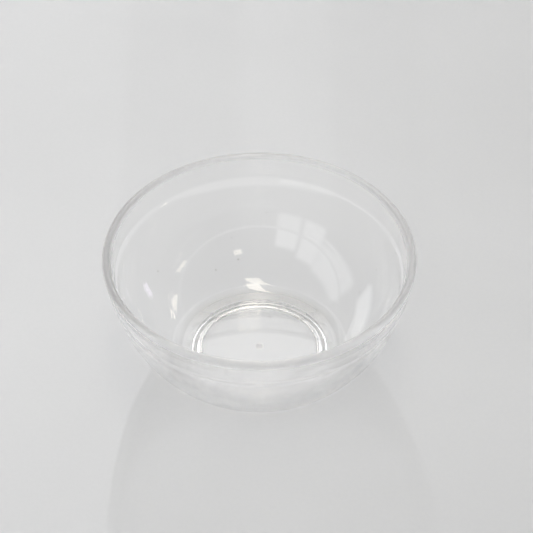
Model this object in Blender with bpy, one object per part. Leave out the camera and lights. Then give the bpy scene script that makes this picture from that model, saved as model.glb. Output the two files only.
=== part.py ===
"""Tinting bowl: a small clear plastic bowl, injection moulded in one piece.

A rounded lip tops a flared collar, which ends outside in a small shoulder. Below the shoulder the
wall is part of a sphere. The thin flat floor stands on a foot ring, and the stub where the plastic
entered the mould is left under the middle of the floor.
"""

import math

import bmesh
import bpy
from mathutils import Vector

# Driving dimensions, in metres
RIM_RADIUS = 0.0300  # axis to the outermost point of the lip
HEIGHT = 0.0271  # table to the top of the lip
WALL = 0.0015  # lip, collar and body
LIP_FLARE = 0.0010  # how far the lip stands out past the body's sphere
COLLAR_DEPTH = 0.0058  # top of the lip down to the shoulder
SHOULDER_STEP = 0.00045  # how far the collar stands out over the body
SHOULDER_SLOPE = 0.0009  # height over which the shoulder slopes in
SHOULDER_ROUND = 0.0006  # both edges of the shoulder
FLOOR_RADIUS = 0.0143  # flat part of the floor
FLOOR_THICKNESS = 0.0007
FLOOR_FILLET = 0.0040  # inside, between the floor and the wall
FOOT_HEIGHT = 0.0020
FOOT_INSET = 0.0011  # edge of the flat floor in to the foot's outer side
FOOT_WIDTH = 0.0014
FOOT_OUTER_ROUND = 0.0003  # the foot's root and edge on its outer side
FOOT_INNER_ROUND = 0.00065  # the foot's edge and root on its inner side
GATE_RADIUS = 0.00065
GATE_HEIGHT = 0.00012

# Facets
SEGMENTS = 64  # around the axis
SPHERE_STEPS = 8
LIP_STEPS = 4  # on each side of the top
FILLET_STEPS = 4
CORNER_STEPS = 3
SHARP_ANGLE = math.radians(40)
MERGE_DISTANCE = 1e-6
MOST_OF_EDGE = 0.49  # the share of an edge that one rounded corner may take up

# Colour and finish of the clear plastic
CLEAR_COLOUR = (0.93, 0.94, 0.94, 1.0)
CLEAR_ROUGHNESS = 0.06
CLEAR_IOR = 1.5


def arc(centre, radius, start, end, steps):
    """Points along an arc about centre, from the start angle to the end angle."""
    points = []
    for step in range(steps + 1):
        angle = start + (end - start) * step / steps
        points.append(centre + radius * Vector((math.cos(angle), math.sin(angle))))
    return points


def rounded_corner(before, corner, after, radius):
    """The arc that rounds a corner, kept within the two edges that meet there."""
    back = before - corner
    ahead = after - corner
    half = back.angle(ahead) / 2
    reach = min(radius / math.tan(half), MOST_OF_EDGE * min(back.length, ahead.length))
    radius = reach * math.tan(half)
    bisector = (back.normalized() + ahead.normalized()).normalized()
    centre = corner + bisector * radius / math.sin(half)
    start = corner + back.normalized() * reach - centre
    end = corner + ahead.normalized() * reach - centre
    start_angle = math.atan2(start.y, start.x)
    sweep = math.remainder(math.atan2(end.y, end.x) - start_angle, math.tau)
    return arc(centre, radius, start_angle, start_angle + sweep, CORNER_STEPS)


def rounded(path):
    """The path, given as points with a radius each, with its corners rounded."""
    points = []
    for index, (corner, radius) in enumerate(path):
        if radius:
            points += rounded_corner(path[index - 1][0], corner, path[index + 1][0], radius)
        else:
            points.append(corner)
    return points


def sharp(points):
    """Points that keep their place in a rounded path."""
    return [(point, 0) for point in points]


def fillet_centre(plane, sphere, sphere_radius, radius):
    """Centre of the fillet inside a sphere's outline and on top of a flat plane."""
    height = plane + radius
    across = math.sqrt((sphere_radius - radius) ** 2 - (sphere.y - height) ** 2)
    return Vector((across, height))


def outline():
    """Half of the bowl's section as (radius, height), from the middle of the floor, over the lip,
    down the outside and under the foot to the gate."""
    outer_radius = RIM_RADIUS - LIP_FLARE
    inner_radius = outer_radius - WALL
    floor_height = FOOT_HEIGHT + FLOOR_THICKNESS
    lip = Vector((RIM_RADIUS - WALL / 2, HEIGHT - WALL / 2))

    # Inside: the floor's fillet starts where the flat ends, and it meets the sphere at a tangent.
    fillet = Vector((FLOOR_RADIUS, floor_height + FLOOR_FILLET))
    fillet_drop = math.sqrt((inner_radius - FLOOR_FILLET) ** 2 - FLOOR_RADIUS**2)
    sphere = fillet + Vector((-FLOOR_RADIUS, fillet_drop))
    inner_join = -math.atan2(fillet_drop, FLOOR_RADIUS)

    # The middle of the collar's wall runs from the lip's centre to a tangent on the sphere's wall.
    # Its normal leans by this angle.
    from_sphere = lip - sphere
    lean = math.atan2(from_sphere.y, from_sphere.x)
    lean -= math.acos((outer_radius - WALL / 2) / from_sphere.length)

    inside = [Vector((0, floor_height))]
    inside += arc(fillet, FLOOR_FILLET, -math.pi / 2, inner_join, FILLET_STEPS)
    inside += arc(sphere, inner_radius, inner_join, lean, SPHERE_STEPS)[1:]

    # Outside: the collar runs from the lip at a tangent to the shoulder, which slopes in to the
    # body's straight start or, on a deep collar, to its sphere.
    root_height = HEIGHT - COLLAR_DEPTH - SHOULDER_SLOPE
    rise = root_height - sphere.y
    if rise > outer_radius * math.sin(lean):
        root_radius = (outer_radius - rise * math.sin(lean)) / math.cos(lean)
        body_start = lean
    else:
        root_radius = math.sqrt(outer_radius**2 - rise**2)
        body_start = math.asin(rise / outer_radius)
    shoulder_root = Vector((root_radius, root_height))
    shoulder_edge = shoulder_root + Vector((SHOULDER_STEP, SHOULDER_SLOPE))
    drop = shoulder_edge - lip
    lip_end = math.atan2(drop.y, drop.x) + math.acos(WALL / 2 / drop.length)
    over_lip = arc(lip, WALL / 2, lean + math.pi, math.pi / 2, LIP_STEPS)
    over_lip += arc(lip, WALL / 2, math.pi / 2, lip_end, LIP_STEPS)[1:]
    shoulder = [(shoulder_edge, SHOULDER_ROUND), (shoulder_root, SHOULDER_ROUND)]

    base_fillet = FLOOR_FILLET + WALL
    base = fillet_centre(FOOT_HEIGHT, sphere, outer_radius, base_fillet)
    outer_join = math.atan2(base.y - sphere.y, base.x)
    body = arc(sphere, outer_radius, body_start, outer_join, SPHERE_STEPS)
    if body_start < lean:
        body = body[1:]
    body += arc(base, base_fillet, outer_join, -math.pi / 2, FILLET_STEPS)[1:]

    # Underneath: the foot ring, the recess inside it and the gate.
    foot_outer = FLOOR_RADIUS - FOOT_INSET
    foot_inner = foot_outer - FOOT_WIDTH
    gate_height = FOOT_HEIGHT - GATE_HEIGHT
    foot = [
        (Vector((foot_outer, FOOT_HEIGHT)), FOOT_OUTER_ROUND),
        (Vector((foot_outer, 0)), FOOT_OUTER_ROUND),
        (Vector((foot_inner, 0)), FOOT_INNER_ROUND),
        (Vector((foot_inner, FOOT_HEIGHT)), FOOT_INNER_ROUND),
    ]
    gate = [
        Vector((GATE_RADIUS, FOOT_HEIGHT)),
        Vector((GATE_RADIUS, gate_height)),
        Vector((0, gate_height)),
    ]
    return rounded(sharp(inside + over_lip) + shoulder + sharp(body) + foot + sharp(gate))


def clear_plastic():
    """The clear, glossy plastic that the whole bowl is moulded from."""
    material = bpy.data.materials.new("clear_plastic")
    material.use_nodes = True
    surface = material.node_tree.nodes["Principled BSDF"]
    surface.inputs["Base Color"].default_value = CLEAR_COLOUR
    surface.inputs["Roughness"].default_value = CLEAR_ROUGHNESS
    surface.inputs["Metallic"].default_value = 0.0
    surface.inputs["IOR"].default_value = CLEAR_IOR
    surface.inputs["Transmission Weight"].default_value = 1.0
    return material


def turned(name, points, material):
    """A solid turned about the Z axis from half of its section."""
    turning = bmesh.new()
    rim = [turning.verts.new((point.x, 0, point.y)) for point in points]
    edges = [turning.edges.new(pair) for pair in zip(rim, rim[1:])]
    bmesh.ops.spin(
        turning,
        geom=rim + edges,
        axis=(0, 0, 1),
        cent=(0, 0, 0),
        angle=math.tau,
        steps=SEGMENTS,
    )
    bmesh.ops.remove_doubles(turning, verts=turning.verts, dist=MERGE_DISTANCE)
    bmesh.ops.recalc_face_normals(turning, faces=turning.faces)
    mesh = bpy.data.meshes.new(name)
    turning.to_mesh(mesh)
    turning.free()
    mesh.shade_smooth()
    mesh.set_sharp_from_angle(angle=SHARP_ANGLE)
    mesh.materials.append(material)
    solid = bpy.data.objects.new(name, mesh)
    bpy.context.scene.collection.objects.link(solid)
    return solid


for leftover in list(bpy.data.objects):
    bpy.data.objects.remove(leftover, do_unlink=True)

turned("bowl", outline(), clear_plastic())
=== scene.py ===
"""A small clear plastic tinting bowl, standing on a pale table in soft daylight."""

import math

import bmesh
import bpy
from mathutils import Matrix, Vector


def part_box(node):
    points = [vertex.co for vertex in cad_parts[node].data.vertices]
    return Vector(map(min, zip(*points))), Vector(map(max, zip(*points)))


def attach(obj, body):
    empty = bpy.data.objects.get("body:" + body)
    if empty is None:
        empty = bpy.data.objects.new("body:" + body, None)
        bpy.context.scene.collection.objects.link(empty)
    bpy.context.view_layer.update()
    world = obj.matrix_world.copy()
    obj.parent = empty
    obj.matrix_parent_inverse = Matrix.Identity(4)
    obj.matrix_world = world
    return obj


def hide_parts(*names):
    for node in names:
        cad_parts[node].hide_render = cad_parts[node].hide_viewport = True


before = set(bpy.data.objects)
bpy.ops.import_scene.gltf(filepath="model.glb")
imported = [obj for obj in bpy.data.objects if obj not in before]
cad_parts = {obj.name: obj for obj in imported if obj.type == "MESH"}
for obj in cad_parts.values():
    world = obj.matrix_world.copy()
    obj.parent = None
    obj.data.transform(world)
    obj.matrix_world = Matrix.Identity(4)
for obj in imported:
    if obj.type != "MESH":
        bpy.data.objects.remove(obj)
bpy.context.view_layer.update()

# The bowl is one injection moulding in clear, colourless plastic: lip, collar, spherical wall, flat
# floor, foot ring and the stub of the gate. Its half section is drawn from the middle of the floor,
# over the lip and back under the foot to the gate, and is then spun about the bowl's axis.
bowl_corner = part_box("bowl")[1]
rim_radius = bowl_corner.x
bowl_height = bowl_corner.z
wall = 0.0015
lip_flare = 0.0010  # how far the lip stands out past the body's sphere
collar_depth = 0.0058  # top of the lip down to the shoulder
shoulder_step = 0.00045
shoulder_slope = 0.0009
shoulder_round = 0.0030
floor_radius = 0.0143
floor_thickness = 0.0007
floor_fillet = 0.0040
foot_height = 0.0020
foot_inset = 0.0011  # edge of the flat floor in to the foot's outer side
foot_width = 0.0014
foot_outer_root_round = 0.0001
foot_outer_round = 0.0003
foot_edge_round = 0.0010
foot_root_round = 0.0008
gate_radius = 0.00065
gate_height = 0.00012
gate_round = 0.0001

floor_steps = 5
fillet_steps = 14
wall_steps = 44
collar_steps = 3
lip_steps = 36
base_steps = 16
gate_steps = 2
shoulder_segments = 5
foot_segments = 6
gate_segments = 3
spin_steps = 360
corner_hold = 0.00006  # length of the short step beside a rounded corner
merge_distance = 1e-6

outer_radius = rim_radius - lip_flare
inner_radius = outer_radius - wall
floor_height = foot_height + floor_thickness
lip = Vector((rim_radius - wall / 2, bowl_height - wall / 2))

# Inside, the fillet starts where the flat floor ends and meets the wall's sphere at a tangent.
fillet = Vector((floor_radius, floor_height + floor_fillet))
fillet_drop = math.sqrt((inner_radius - floor_fillet) ** 2 - floor_radius**2)
sphere = Vector((0, fillet.y + fillet_drop))
wall_start = -math.atan2(fillet_drop, floor_radius)

# The collar runs from the lip to a tangent on the sphere, where the wall's normal has this lean.
to_lip = lip - sphere
lean = math.atan2(to_lip.y, to_lip.x) - math.acos((outer_radius - wall / 2) / to_lip.length)

# Outside, the collar ends in a shoulder that slopes in to the body.
root_height = bowl_height - collar_depth - shoulder_slope
root_rise = root_height - sphere.y
root = Vector(((outer_radius - root_rise * math.sin(lean)) / math.cos(lean), root_height))
shoulder = root + Vector((shoulder_step, shoulder_slope))
shoulder_turn = math.atan2(shoulder_step, shoulder_slope) + lean
shoulder_reach = shoulder_round * abs(math.tan(shoulder_turn / 2))
collar_drop = shoulder - lip
lip_end = math.atan2(collar_drop.y, collar_drop.x) + math.acos(wall / 2 / collar_drop.length)

# The body rounds in under the floor, where the foot ring stands.
base_fillet = floor_fillet + wall
base_rise = foot_height + base_fillet
base_reach = math.sqrt((outer_radius - base_fillet) ** 2 - (sphere.y - base_rise) ** 2)
base = Vector((base_reach, base_rise))
wall_end = math.atan2(base.y - sphere.y, base.x)
foot_outer = floor_radius - foot_inset
foot_inner = foot_outer - foot_width
foot_corners = (
    (Vector((foot_outer, foot_height)), foot_outer_root_round),
    (Vector((foot_outer, 0)), foot_outer_round),
    (Vector((foot_inner, 0)), foot_edge_round),
    (Vector((foot_inner, foot_height)), foot_root_round),
)
gate_corner = Vector((gate_radius, foot_height - gate_height))


def on_round(centre, radius, angle):
    """A point of the section at an angle round a centre."""
    return centre + radius * Vector((math.cos(angle), math.sin(angle)))


def draw_to(point, steps=1, start=0.0, end=0.0):
    """Extrudes the last point of the section in a straight line, in equal steps. Just outside the
    rounded corners at its start and end, a step of that length keeps the shading of the line flat."""
    drawn = bmesh.from_edit_mesh(bowl.data)
    last = next(vertex.co.copy() for vertex in drawn.verts if vertex.select)
    line = Vector((point.x, 0, point.y)) - last
    middle = (line.length - start - end) / steps
    for length in [start] + [middle] * steps + [end]:
        if length:
            step = line.normalized() * length
            bpy.ops.mesh.extrude_region_move(TRANSFORM_OT_translate={"value": step})


def draw_round(centre, sweep, steps):
    """Spins the last point of the section about a centre, against the clock where sweep is positive."""
    middle = (centre.x, 0, centre.y)
    bpy.ops.mesh.spin(steps=steps, angle=sweep, center=middle, axis=(0, 1, 0))


def round_corner(point, reach, segments):
    """Bevels the corner of the section at a point, reaching this far along both of its edges."""
    bpy.ops.mesh.select_all(action="DESELECT")
    drawn = bmesh.from_edit_mesh(bowl.data)
    corner = min(drawn.verts, key=lambda vertex: (vertex.co - Vector((point.x, 0, point.y))).length)
    corner.select = True
    drawn.select_flush_mode()
    bmesh.update_edit_mesh(bowl.data)
    bpy.ops.mesh.bevel(offset=reach, segments=segments, profile=0.5, affect="VERTICES")


bpy.ops.object.select_all(action="DESELECT")
bpy.ops.mesh.primitive_plane_add(size=wall)
bowl = bpy.context.object
bowl.name = "clear_bowl"
bpy.ops.object.mode_set(mode="EDIT")
bpy.ops.mesh.merge(type="CENTER")
bpy.ops.transform.translate(value=(0, 0, floor_height))

draw_to(Vector((floor_radius, floor_height)), floor_steps, end=corner_hold)
draw_round(fillet, wall_start + math.pi / 2, fillet_steps)
draw_round(sphere, lean - wall_start, wall_steps)
draw_to(on_round(lip, wall / 2, lean + math.pi), collar_steps, corner_hold, corner_hold)
draw_round(lip, lip_end - lean - math.pi, lip_steps)
draw_to(shoulder, collar_steps, corner_hold, shoulder_reach + corner_hold)
draw_to(root)
draw_to(on_round(sphere, outer_radius, lean), start=shoulder_reach + corner_hold, end=corner_hold)
draw_round(sphere, wall_end - lean, wall_steps)
draw_round(base, -math.pi / 2 - wall_end, base_steps)
reach_before = 0.0
for corner, reach in foot_corners:
    draw_to(corner, start=reach_before + corner_hold, end=reach + corner_hold)
    reach_before = reach
draw_to(Vector((gate_radius, foot_height)), floor_steps, reach_before + corner_hold, corner_hold)
draw_to(gate_corner)
draw_to(Vector((0, gate_corner.y)), gate_steps, start=gate_round + corner_hold)

for corner in (shoulder, root):
    round_corner(corner, shoulder_reach, shoulder_segments)
for corner, reach in foot_corners:
    round_corner(corner, reach, foot_segments)
round_corner(gate_corner, gate_round, gate_segments)

bpy.ops.mesh.select_all(action="SELECT")
bpy.ops.mesh.spin(steps=spin_steps, angle=math.tau, center=(0, 0, 0), axis=(0, 0, 1))
bpy.ops.mesh.select_all(action="SELECT")
bpy.ops.mesh.remove_doubles(threshold=merge_distance)
bpy.ops.mesh.normals_make_consistent(inside=False)
bpy.ops.object.mode_set(mode="OBJECT")
bpy.ops.object.shade_smooth()

clear_plastic = bpy.data.materials.new("clear_plastic")
clear_plastic.use_nodes = True
plastic_nodes = clear_plastic.node_tree.nodes
plastic_links = clear_plastic.node_tree.links
plastic = plastic_nodes["Principled BSDF"]
plastic.inputs["IOR"].default_value = 1.5
plastic.inputs["Transmission Weight"].default_value = 1.0

place = plastic_nodes.new("ShaderNodeTexCoord").outputs["Object"]
place_parts = plastic_nodes.new("ShaderNodeSeparateXYZ")
plastic_links.new(place, place_parts.inputs[0])
rightward, backward, upward = place_parts.outputs


def calculate(operation, *values):
    """A sum over numbers and sockets, among the nodes that the sockets belong to."""
    sockets = [value for value in values if isinstance(value, bpy.types.NodeSocket)]
    tree = sockets[0].id_data
    node = tree.nodes.new("ShaderNodeMath")
    node.operation = operation
    for entry, value in zip(node.inputs, values):
        if isinstance(value, bpy.types.NodeSocket):
            tree.links.new(value, entry)
        else:
            entry.default_value = value
    return node.outputs[0]


def product(*values):
    """Sockets multiplied with each other, from the first to the last."""
    result = values[0]
    for value in values[1:]:
        result = calculate("MULTIPLY", result, value)
    return result


def rise(value, low, high, bottom=0.0, top=1.0, shape="SMOOTHSTEP"):
    """Goes from bottom to top, softly or as another shape, as a socket goes from low to high."""
    tree = value.id_data
    node = tree.nodes.new("ShaderNodeMapRange")
    node.interpolation_type = shape
    node.inputs["From Min"].default_value = low
    node.inputs["From Max"].default_value = high
    node.inputs["To Min"].default_value = bottom
    node.inputs["To Max"].default_value = top
    tree.links.new(value, node.inputs["Value"])
    return node.outputs[0]


outward = calculate("MULTIPLY", rightward, rightward)
outward = calculate("MULTIPLY_ADD", backward, backward, outward)
outward = calculate("SQRT", outward)

# The plastic has lost some of its polish, more on the near side than at the back, and has smears
# above the floor.
polished_roughness = 0.02
dulled_roughness = 0.13
dulled_places = (-0.010, -0.026)
smear_roughness = 0.012
smear_scale = 90.0
smear_noise = (0.5, 0.75)
smear_heights = (0.006, 0.010)
polish_loss = rise(backward, *dulled_places, polished_roughness, dulled_roughness)
fingers = plastic_nodes.new("ShaderNodeTexNoise")
fingers.inputs["Scale"].default_value = smear_scale
plastic_links.new(place, fingers.inputs["Vector"])
smears = rise(fingers.outputs["Fac"], *smear_noise, 0, smear_roughness)
smears = product(smears, rise(upward, *smear_heights))
polish_loss = calculate("ADD", polish_loss, smears)

# The lip is matt, all of it at the front and sides and only its top at the back. So is the end of
# the gate's stub, where it was torn off.
matt_roughness = 0.31
matt_side_places = (0.027, 0.012)
lip_side = rise(upward, bowl_height - 1.4 * wall, bowl_height - 0.5 * wall)
lip_side = product(lip_side, rise(backward, *matt_side_places))
lip_top = rise(upward, bowl_height - 0.7 * wall, bowl_height - 0.3 * wall)
lip_loss = calculate("MAXIMUM", lip_side, lip_top)
gate_loss = rise(outward, 1.6 * gate_radius, 1.2 * gate_radius)
gate_loss = product(gate_loss, calculate("LESS_THAN", upward, 1.1 * foot_height))
matt = calculate("MAXIMUM", lip_loss, gate_loss)

# A thin film lies in the corner round the foot, most of it at the back, and makes the plastic matt
# there. Its tint is painted shade that darkens the corner round the foot.
film_roughness = 0.28
painted_corner_shade_tint = (0.81, 0.80, 0.76, 1)
shade_and_film_inner_edge = (foot_outer - 0.0003, foot_outer - 0.0001)
shade_and_film_outer_edge = (floor_radius + 0.003, floor_radius + 0.0005)
shade_and_film_top = floor_height - 0.0001
shade_and_film_places = (0.003, 0.011)
film_and_painted_shade = product(
    rise(outward, *shade_and_film_inner_edge),
    rise(outward, *shade_and_film_outer_edge),
    calculate("LESS_THAN", upward, shade_and_film_top),
    rise(backward, *shade_and_film_places),
)
roughness = calculate("MULTIPLY_ADD", matt, matt_roughness, polish_loss)
roughness = calculate("MULTIPLY_ADD", film_and_painted_shade, film_roughness, roughness)
plastic_links.new(roughness, plastic.inputs["Roughness"])


def tinted(colour, mask, tint):
    """Goes from a colour to a tint as a mask goes from 0 to 1."""
    node = plastic_nodes.new("ShaderNodeMix")
    node.data_type = "RGBA"
    node.inputs["B"].default_value = tint
    plastic_links.new(mask, node.inputs["Factor"])
    if isinstance(colour, tuple):
        node.inputs["A"].default_value = colour
    else:
        plastic_links.new(colour, node.inputs["A"])
    return node.outputs["Result"]


# Painted shade darkens the lip's inner edge a little at the sides, less at the back and not at all at
# the front.
clear_colour = (0.994, 0.994, 0.994, 1)
painted_lip_shade_tint = (0.78, 0.78, 0.77, 1)
painted_lip_shade_at_back = 0.4
painted_lip_shade_back_places = (0.027, 0.018)
painted_lip_shade_front_places = (-0.027, -0.014)
painted_lip_shade = product(
    rise(upward, bowl_height - 0.3 * wall, bowl_height - 0.2 * wall),
    rise(outward, lip.x - 0.15 * wall, lip.x - 0.3 * wall),
    rise(backward, *painted_lip_shade_back_places, painted_lip_shade_at_back),
    rise(backward, *painted_lip_shade_front_places),
)
colour = tinted(clear_colour, painted_lip_shade, painted_lip_shade_tint)
# Painted shade: this tint darkens the corner round the foot, most at the back.
colour = tinted(colour, film_and_painted_shade, painted_corner_shade_tint)
# A few dark specks of dust are moulded in.
dust_tint = (0.60, 0.58, 0.56, 1)
dust_scale = 180.0
dust_edge = (0.040, 0.030)
dust = plastic_nodes.new("ShaderNodeTexVoronoi")
dust.inputs["Scale"].default_value = dust_scale
plastic_links.new(place, dust.inputs["Vector"])
colour = tinted(colour, rise(dust.outputs["Distance"], *dust_edge), dust_tint)
plastic_links.new(colour, plastic.inputs["Base Color"])

# A faint ring of painted light glows round the back of the inside, level with the collar's lower edge.
# It is brightest left of the middle and gets narrower towards both sides.
ring_high = 0.0224
ring_low_middle = 0.0206
ring_low_sides = 0.0217
ring_soft = 0.0005
ring_narrowing = (0.008, 0.020)
ring_left_glow = 0.055
ring_right_glow = 0.030
ring_glow_places = (-0.010, 0.025)
ring_left_end = 0.4
ring_left_places = (-0.027, -0.014)
ring_back_places = (0.003, 0.014)
ring_low = rise(calculate("ABSOLUTE", rightward), *ring_narrowing, ring_low_middle, ring_low_sides)
ring = product(
    rise(calculate("SUBTRACT", upward, ring_low), -ring_soft, ring_soft),
    rise(upward, ring_high + ring_soft, ring_high - ring_soft),
    calculate("LESS_THAN", outward, outer_radius - 0.5 * wall),
    rise(rightward, *ring_glow_places, ring_left_glow, ring_right_glow),
    rise(rightward, *ring_left_places, ring_left_end),
    rise(backward, *ring_back_places),
)
# Painted light: the matt lip glows a little on the near side, which makes it paler there.
lip_glow = 0.07
painted_lip_light_places = (-0.010, -0.024)
painted_lip_light = product(lip_loss, rise(backward, *painted_lip_light_places, 0, lip_glow))
# The painted ring of light and the painted light on the lip glow through the plastic's emission.
plastic_links.new(calculate("ADD", ring, painted_lip_light), plastic.inputs["Emission Color"])
plastic.inputs["Emission Strength"].default_value = 1.0

# Light passes straight through the wall to the table, with more lost at a slant and under the foot.
# Each kind of ray keeps one share of it where it meets the wall squarely and one where it slants.
foot_shade = 0.28
slant_power = 3.0
passing = (("Is Diffuse Ray", 1.0, 0.6), ("Is Shadow Ray", 0.80, 0.2))
light_path = plastic_nodes.new("ShaderNodeLightPath")
facing = plastic_nodes.new("ShaderNodeLayerWeight")
facing.inputs["Blend"].default_value = 0.5
loss = calculate("POWER", facing.outputs["Facing"], slant_power)
loss = calculate("MAXIMUM", loss, rise(upward, foot_height, 0.5 * foot_height, 0, foot_shade))
surface = plastic.outputs[0]
for ray, straight, slanted in passing:
    passed = plastic_nodes.new("ShaderNodeMix")
    passed.data_type = "RGBA"
    passed.inputs["A"].default_value = (straight, straight, straight, 1)
    passed.inputs["B"].default_value = (slanted, slanted, slanted, 1)
    clear = plastic_nodes.new("ShaderNodeBsdfTransparent")
    choice = plastic_nodes.new("ShaderNodeMixShader")
    plastic_links.new(loss, passed.inputs["Factor"])
    plastic_links.new(passed.outputs["Result"], clear.inputs["Color"])
    plastic_links.new(light_path.outputs[ray], choice.inputs[0])
    plastic_links.new(surface, choice.inputs[1])
    plastic_links.new(clear.outputs[0], choice.inputs[2])
    surface = choice.outputs[0]
plastic_links.new(surface, plastic_nodes["Material Output"].inputs["Surface"])

bowl.data.materials.append(clear_plastic)
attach(bowl, "root")
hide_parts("bowl")

# The table is a plain white laminate top, far larger than the view. It lies a hair below the foot,
# because a moulded ring never meets a table all the way round.
table_size = 4.0
table_drop = 0.00005
bpy.ops.object.select_all(action="DESELECT")
bpy.ops.mesh.primitive_plane_add(size=table_size)
table = bpy.context.object
table.name = "table"
bpy.ops.object.mode_set(mode="EDIT")
bpy.ops.transform.translate(value=(0, 0, -table_drop))
bpy.ops.object.mode_set(mode="OBJECT")

laminate = bpy.data.materials.new("white_laminate")
laminate.use_nodes = True
laminate_nodes = laminate.node_tree.nodes
laminate_links = laminate.node_tree.links
laminate_surface = laminate_nodes["Principled BSDF"]
laminate_surface.inputs["Roughness"].default_value = 0.6
laminate_surface.inputs["Specular IOR Level"].default_value = 0.0
laminate_place = laminate_nodes.new("ShaderNodeTexCoord").outputs["Object"]
laminate_parts = laminate_nodes.new("ShaderNodeSeparateXYZ")
laminate_links.new(laminate_place, laminate_parts.inputs[0])
table_rightward = laminate_parts.outputs["X"]
table_backward = laminate_parts.outputs["Y"]

# Painted shade darkens the white along the near side and in faint bands on the far side, and a fine
# grain and slow clouds run all over. A band has a start, an end and a depth, a grain a scale and a
# depth.
laminate_white = (0.618, 0.628, 0.647)
painted_near_shade = 0.950
near_places = (-0.060, 0.000)
far_places = (0.000, 0.030)
band_soft_start = 0.003
band_soft_end = 0.006
painted_shadow_bands = ((-0.200, -0.004, 0.010), (-0.029, -0.004, 0.020), (0.016, 0.036, 0.015))
grains = ((1400.0, 0.006), (22.0, 0.012))
grain_noise = (0.3, 0.7)
tones = [rise(table_backward, *near_places, painted_near_shade)]
far_side = rise(table_backward, *far_places)
for start, end, depth in painted_shadow_bands:
    band = product(
        rise(table_rightward, start - band_soft_start, start + band_soft_start),
        rise(table_rightward, end + band_soft_end, end - band_soft_end),
        far_side,
    )
    tones.append(rise(band, 0, 1, 1, 1 - depth))
for scale, depth in grains:
    grain = laminate_nodes.new("ShaderNodeTexNoise")
    grain.inputs["Scale"].default_value = scale
    grain.inputs["Detail"].default_value = 3.0
    laminate_links.new(laminate_place, grain.inputs["Vector"])
    tones.append(rise(grain.outputs["Fac"], *grain_noise, 1 - depth, 1 + depth))
laminate_colour = laminate_nodes.new("ShaderNodeVectorMath")
laminate_colour.operation = "MULTIPLY"
laminate_colour.inputs[0].default_value = laminate_white
laminate_links.new(product(*tones), laminate_colour.inputs[1])
laminate_links.new(laminate_colour.outputs[0], laminate_surface.inputs["Base Color"])
table.data.materials.append(laminate)

# The room is lit by soft daylight, brighter behind the bowl than on the camera's side, with windows
# and lamps as bright panes in it. Azimuths are in degrees from straight behind the bowl to the right.
dim_side = 0.43
bright_side = 0.80
daylight_fade = (-0.8, 0.8)
white = (1, 1, 1)
warm = (1, 0.93, 0.80)
room = bpy.data.worlds.new("room")
bpy.context.scene.world = room
room.use_nodes = True
room.cycles.sampling_method = "NONE"
room_nodes = room.node_tree.nodes
room_links = room.node_tree.links

way = room_nodes.new("ShaderNodeTexCoord").outputs["Generated"]
way_parts = room_nodes.new("ShaderNodeSeparateXYZ")
room_links.new(way, way_parts.inputs[0])
way_right, way_back, way_up = way_parts.outputs
azimuth = calculate("DEGREES", calculate("ARCTAN2", way_right, way_back))
elevation = calculate("DEGREES", calculate("ARCSINE", way_up))


def within(angle, middle, size, soft):
    """1 where an angle lies in a span about its middle, down to 0 over a soft edge."""
    offset = calculate("WRAP", calculate("SUBTRACT", angle, middle), 180, -180)
    return rise(calculate("ABSOLUTE", offset), (size + soft) / 2, (size - soft) / 2)


def lit(light, mask, strength, colour):
    """The room's light with a colour of this strength added where a mask is 1."""
    node = room_nodes.new("ShaderNodeVectorMath")
    node.operation = "MULTIPLY_ADD"
    node.inputs[0].default_value = Vector(colour) * strength
    room_links.new(mask, node.inputs[1])
    room_links.new(light, node.inputs[2])
    return node.outputs[0]


# Each pane has a strength, a colour, and a middle, size and soft edge in azimuth and in elevation:
# the window behind, three more at the left, two strip lamps at the right and a small near lamp.
panes = (
    (1.6, white, (0, 44, 8), (42, 24, 5)),
    (1.3, white, (-156, 19, 5), (16, 28, 5)),
    (1.3, white, (-135, 18, 5), (18, 32, 5)),
    (1.15, white, (-104, 42, 6), (24, 24, 6)),
    (7.5, warm, (72, 20, 1.0), (22, 1.7, 0.6)),
    (4.2, warm, (105, 12, 1.0), (17, 1.5, 0.6)),
    (3.0, warm, (159, 8, 2), (34, 4, 2)),
)
room_light = rise(way_back, *daylight_fade, dim_side, bright_side, "LINEAR")
for strength, pane_colour, turn, tilt in panes:
    pane = product(within(azimuth, *turn), within(elevation, *tilt))
    room_light = lit(room_light, pane, strength, pane_colour)

# One lamp hangs overhead, wider at its near end than at its far end. Its four edges lie in planes
# through the bowl, which are given by their normals.
lamp_edges = ((1, 0.050, 0.038), (-1, -0.250, 0.095), (0, 1, 0.53), (0, -1, 0.90))
lamp_soft = 0.015
lamp_strength = 7.0
lamp_shares = []
for edge in lamp_edges:
    inside = room_nodes.new("ShaderNodeVectorMath")
    inside.operation = "DOT_PRODUCT"
    inside.inputs[1].default_value = edge
    room_links.new(way, inside.inputs[0])
    lamp_shares.append(rise(inside.outputs["Value"], 0, lamp_soft, shape="LINEAR"))
room_light = lit(room_light, product(*lamp_shares), lamp_strength, warm)
room_links.new(room_light, room_nodes["Background"].inputs["Color"])

# The window behind also throws a soft-edged beam that dies away towards the right.
beam_middle = Vector((-0.10, 0.05, 0))
beam_reach = 0.18
beam_away = 3.0
beam_azimuth = math.radians(-3)
beam_elevation = math.radians(33)
beam_way = Vector((
    math.cos(beam_elevation) * math.sin(beam_azimuth),
    math.cos(beam_elevation) * math.cos(beam_azimuth),
    math.sin(beam_elevation),
))
beam_light = bpy.data.lights.new("beam", "SPOT")
beam_light.energy = 100
beam_light.shadow_soft_size = 0.03
beam_light.spot_size = 2 * math.atan(beam_reach / beam_away)
beam_light.spot_blend = 1.0
beam = bpy.data.objects.new("beam", beam_light)
beam.location = beam_away * beam_way
beam.rotation_euler = (beam_middle - beam.location).to_track_quat("-Z", "Y").to_euler()
beam.visible_glossy = False
beam.visible_transmission = False
bpy.context.scene.collection.objects.link(beam)

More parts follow.
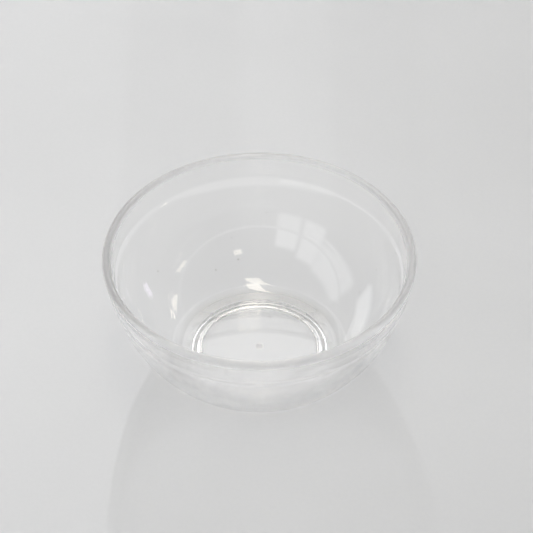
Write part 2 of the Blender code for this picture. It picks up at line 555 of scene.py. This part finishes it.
# Two low lit cards stand on the table outside the view, one a cool screen and one plain white. They
# show only as reflections in the wall.
cards = (
    ("screen_card", (0.0555, 0.0418, 0.0065), (0.004, 0.0097), (0.93, 0.82, 1.0), 0.0004),
    ("white_card", (-0.142, 0.1107, 0.0245), (0.086, 0.049), (1.0, 1.0, 1.0), 0.018),
)
for name, spot, size, card_colour, power in cards:
    card_light = bpy.data.lights.new(name, "AREA")
    card_light.shape = "RECTANGLE"
    card_light.size, card_light.size_y = size
    card_light.color = card_colour
    card_light.energy = power
    card = bpy.data.objects.new(name, card_light)
    card.location = spot
    facing_bowl = Vector((-spot[0], -spot[1], 0))
    card.rotation_euler = facing_bowl.to_track_quat("-Z", "Y").to_euler()
    card.visible_camera = False
    card.visible_diffuse = False
    bpy.context.scene.collection.objects.link(card)

# The camera looks down at the bowl through a long lens, as in the photograph.
frame_pixels = 533
rim_centre_pixel = Vector((259.3, 253.8))
pixels_per_tangent = 2830
camera_elevation = math.radians(42.8)
camera_distance = 0.540
sensor = 36.0
rim_centre = Vector((0, 0, bowl_height))
back_way = Vector((0, math.cos(camera_elevation), -math.sin(camera_elevation)))
right_way = Vector((1, 0, 0))
up_way = right_way.cross(back_way)
metres_per_pixel = camera_distance / pixels_per_tangent
middle_shift = (Vector((frame_pixels, frame_pixels)) / 2 - rim_centre_pixel) * metres_per_pixel
view_point = rim_centre + right_way * middle_shift.x - up_way * middle_shift.y

lens = bpy.data.cameras.new("camera")
lens.sensor_width = sensor
lens.lens = sensor * pixels_per_tangent / frame_pixels
camera = bpy.data.objects.new("camera", lens)
camera.location = rim_centre - back_way * camera_distance
camera.rotation_euler = (view_point - camera.location).to_track_quat("-Z", "Y").to_euler()
bpy.context.scene.collection.objects.link(camera)
bpy.context.scene.camera = camera

# Light runs a long way inside clear plastic before it comes out.
bounces = 128
cycles = bpy.context.scene.cycles
cycles.max_bounces = bounces
cycles.glossy_bounces = bounces
cycles.transmission_bounces = bounces
cycles.transparent_max_bounces = bounces
bpy.context.scene.view_settings.view_transform = "Standard"
